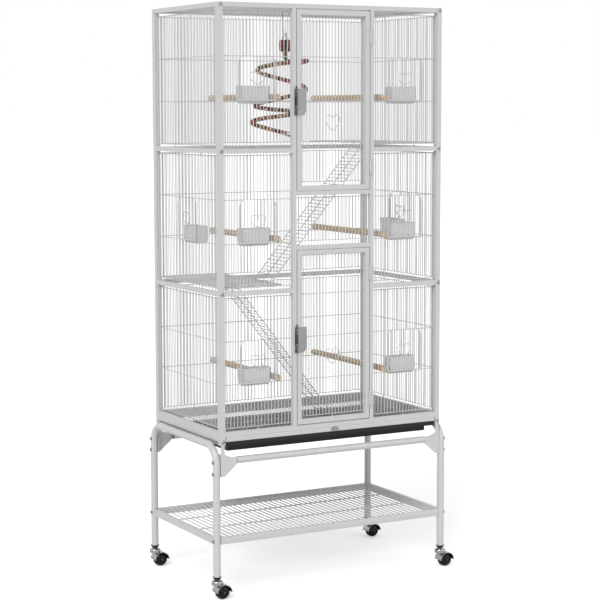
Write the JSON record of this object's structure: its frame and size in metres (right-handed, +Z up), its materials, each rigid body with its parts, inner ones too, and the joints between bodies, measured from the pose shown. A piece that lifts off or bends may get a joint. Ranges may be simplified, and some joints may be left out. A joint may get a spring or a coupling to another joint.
{
  "type": "bird cage on a wheeled stand",
  "caption": "Tall wire bird cage in tiers with hinged doors, lift-up feeder doors and cups, wooden perches, ramps, a rope spiral and a pull-out tray on a wheeled stand.",
  "frame": {"origin": "on the floor under the middle of the whole, which is a little right of the cage's middle because the casters trail to the right", "axes": "+Z up, the doors face -Y, +X to the right as seen from the front"},
  "size_m": [0.846, 0.4812, 1.75],
  "materials": {
    "powder_coat": "light grey powder coat, slightly grained",
    "bright_plate": "bright zinc and nickel plate",
    "dark_steel": "blackened steel",
    "cup_plastic": "pale grey moulded plastic",
    "dowel": "bare turned hardwood",
    "rope": "coloured cotton strands over a stiff core",
    "black_plastic": "black moulded plastic, lightly grained",
    "chrome_cover": "bright plated cover",
    "wheel_plastic": "glossy black nylon"
  },
  "bodies": {
    "cage": {"front_frame": "powder_coat", "back_frame": "powder_coat", "left_frame": "powder_coat", "right_frame": "powder_coat", "front_wires": "powder_coat", "back_wires": "powder_coat", "left_wires": "powder_coat", "right_wires": "powder_coat", "roof_wires": "powder_coat", "post_hinges_and_pins": "powder_coat", "latch_keepers": "bright_plate", "perches": "dowel", "spiral_rope": "rope", "spiral_fittings": "bright_plate", "upper_platform": "powder_coat", "lower_platform": "powder_coat", "upper_ramp": "powder_coat", "lower_ramp": "powder_coat", "stand_frames": "powder_coat", "stand_braces": "powder_coat", "shelf": "powder_coat", "bolts_and_nuts": "bright_plate", "leg_sockets": "black_plastic"},
    "upper_door": {"upper_door_frame": "powder_coat", "upper_door_wires": "powder_coat", "upper_door_hinge_leaves": "powder_coat", "upper_latch_plate": "bright_plate"},
    "lower_door": {"lower_door_frame": "powder_coat", "lower_door_wires": "powder_coat", "lower_door_hinge_leaves": "powder_coat", "lower_latch_plate": "bright_plate"},
    "upper_bolt": {"upper_latch_bolt": "dark_steel"},
    "lower_bolt": {"lower_latch_bolt": "dark_steel"},
    "grate": {"floor_grate": "powder_coat"},
    "tray": {"tray": "black_plastic"},
    "tray_latch": {"tray_latch": "bright_plate"},
    "lower_left_door": {"lower_left_feeder_door": "powder_coat"},
    "lower_left_cup": {"lower_left_cup": "cup_plastic"},
    "lower_right_door": {"lower_right_feeder_door": "powder_coat"},
    "lower_right_cup": {"lower_right_cup": "cup_plastic"},
    "middle_left_door": {"middle_left_feeder_door": "powder_coat"},
    "middle_left_cup": {"middle_left_cup": "cup_plastic"},
    "middle_right_door": {"middle_right_feeder_door": "powder_coat"},
    "middle_right_cup": {"middle_right_cup": "cup_plastic"},
    "upper_left_door": {"upper_left_feeder_door": "powder_coat"},
    "upper_left_cup": {"upper_left_cup": "cup_plastic"},
    "upper_right_door": {"upper_right_feeder_door": "powder_coat"},
    "upper_right_cup": {"upper_right_cup": "cup_plastic"},
    "left_side_door": {"left_side_feeder_door": "powder_coat"},
    "left_side_cup": {"left_side_cup": "cup_plastic"},
    "right_side_door": {"right_side_feeder_door": "powder_coat"},
    "right_side_cup": {"right_side_cup": "cup_plastic"},
    "front_left_caster": {"front_left_caster": "chrome_cover"},
    "front_left_wheel": {"front_left_wheel": "wheel_plastic"},
    "back_left_caster": {"back_left_caster": "chrome_cover"},
    "back_left_wheel": {"back_left_wheel": "wheel_plastic"},
    "front_right_caster": {"front_right_caster": "chrome_cover"},
    "front_right_wheel": {"front_right_wheel": "wheel_plastic"},
    "back_right_caster": {"back_right_caster": "chrome_cover"},
    "back_right_wheel": {"back_right_wheel": "wheel_plastic"}
  },
  "joints": [
    {"name": "upper_door_hinge", "type": "hinge", "parent": "cage", "child": "upper_door", "pos_m": [0.11215, -0.2332, 0], "axis": [0, 0, 1], "range_deg": [0, 150]},
    {"name": "lower_door_hinge", "type": "hinge", "parent": "cage", "child": "lower_door", "pos_m": [0.11215, -0.2332, 0], "axis": [0, 0, 1], "range_deg": [0, 150]},
    {"name": "upper_bolt_lift", "type": "slide", "parent": "upper_door", "child": "upper_bolt", "axis": [0, 0, 1], "range_m": [0, 0.012]},
    {"name": "lower_bolt_lift", "type": "slide", "parent": "lower_door", "child": "lower_bolt", "axis": [0, 0, 1], "range_m": [0, 0.012]},
    {"name": "grate_slide", "type": "slide", "parent": "cage", "child": "grate", "axis": [0, -1, 0], "range_m": [0, 0.42]},
    {"name": "tray_slide", "type": "slide", "parent": "cage", "child": "tray", "axis": [0, -1, 0], "range_m": [0, 0.42]},
    {"name": "tray_latch_turn", "type": "hinge", "parent": "grate", "child": "tray_latch", "pos_m": [-0.01205, -0.231, 0.48], "axis": [0, 1, 0], "range_deg": [0, 90]},
    {"name": "lower_left_door_slide", "type": "slide", "parent": "cage", "child": "lower_left_door", "axis": [0, 0, 1], "range_m": [0, 0.09]},
    {"name": "lower_left_cup_lift", "type": "slide", "parent": "cage", "child": "lower_left_cup", "axis": [0, 0, 1], "range_m": [0, 0.04]},
    {"name": "lower_right_door_slide", "type": "slide", "parent": "cage", "child": "lower_right_door", "axis": [0, 0, 1], "range_m": [0, 0.09]},
    {"name": "lower_right_cup_lift", "type": "slide", "parent": "cage", "child": "lower_right_cup", "axis": [0, 0, 1], "range_m": [0, 0.04]},
    {"name": "middle_left_door_slide", "type": "slide", "parent": "cage", "child": "middle_left_door", "axis": [0, 0, 1], "range_m": [0, 0.09]},
    {"name": "middle_left_cup_lift", "type": "slide", "parent": "cage", "child": "middle_left_cup", "axis": [0, 0, 1], "range_m": [0, 0.04]},
    {"name": "middle_right_door_slide", "type": "slide", "parent": "cage", "child": "middle_right_door", "axis": [0, 0, 1], "range_m": [0, 0.09]},
    {"name": "middle_right_cup_lift", "type": "slide", "parent": "cage", "child": "middle_right_cup", "axis": [0, 0, 1], "range_m": [0, 0.04]},
    {"name": "upper_left_door_slide", "type": "slide", "parent": "cage", "child": "upper_left_door", "axis": [0, 0, 1], "range_m": [0, 0.09]},
    {"name": "upper_left_cup_lift", "type": "slide", "parent": "cage", "child": "upper_left_cup", "axis": [0, 0, 1], "range_m": [0, 0.04]},
    {"name": "upper_right_door_slide", "type": "slide", "parent": "cage", "child": "upper_right_door", "axis": [0, 0, 1], "range_m": [0, 0.09]},
    {"name": "upper_right_cup_lift", "type": "slide", "parent": "cage", "child": "upper_right_cup", "axis": [0, 0, 1], "range_m": [0, 0.04]},
    {"name": "left_side_door_slide", "type": "slide", "parent": "cage", "child": "left_side_door", "axis": [0, 0, 1], "range_m": [0, 0.09]},
    {"name": "left_side_cup_lift", "type": "slide", "parent": "cage", "child": "left_side_cup", "axis": [0, 0, 1], "range_m": [0, 0.04]},
    {"name": "right_side_door_slide", "type": "slide", "parent": "cage", "child": "right_side_door", "axis": [0, 0, 1], "range_m": [0, 0.09]},
    {"name": "right_side_cup_lift", "type": "slide", "parent": "cage", "child": "right_side_cup", "axis": [0, 0, 1], "range_m": [0, 0.04]},
    {"name": "front_left_swivel", "type": "hinge", "parent": "cage", "child": "front_left_caster", "pos_m": [-0.40785, -0.222, 0.06], "axis": [0, 0, 1], "continuous": true},
    {"name": "front_left_roll", "type": "hinge", "parent": "front_left_caster", "child": "front_left_wheel", "pos_m": [-0.39085, -0.222, 0.0215], "axis": [0, 1, 0], "continuous": true},
    {"name": "back_left_swivel", "type": "hinge", "parent": "cage", "child": "back_left_caster", "pos_m": [-0.40785, 0.222, 0.06], "axis": [0, 0, 1], "continuous": true},
    {"name": "back_left_roll", "type": "hinge", "parent": "back_left_caster", "child": "back_left_wheel", "pos_m": [-0.39085, 0.222, 0.0215], "axis": [0, 1, 0], "continuous": true},
    {"name": "front_right_swivel", "type": "hinge", "parent": "cage", "child": "front_right_caster", "pos_m": [0.37975, -0.222, 0.06], "axis": [0, 0, 1], "continuous": true},
    {"name": "front_right_roll", "type": "hinge", "parent": "front_right_caster", "child": "front_right_wheel", "pos_m": [0.39675, -0.222, 0.0215], "axis": [0, 1, 0], "continuous": true},
    {"name": "back_right_swivel", "type": "hinge", "parent": "cage", "child": "back_right_caster", "pos_m": [0.37975, 0.222, 0.06], "axis": [0, 0, 1], "continuous": true},
    {"name": "back_right_roll", "type": "hinge", "parent": "back_right_caster", "child": "back_right_wheel", "pos_m": [0.39675, 0.222, 0.0215], "axis": [0, 1, 0], "continuous": true}
  ]
}
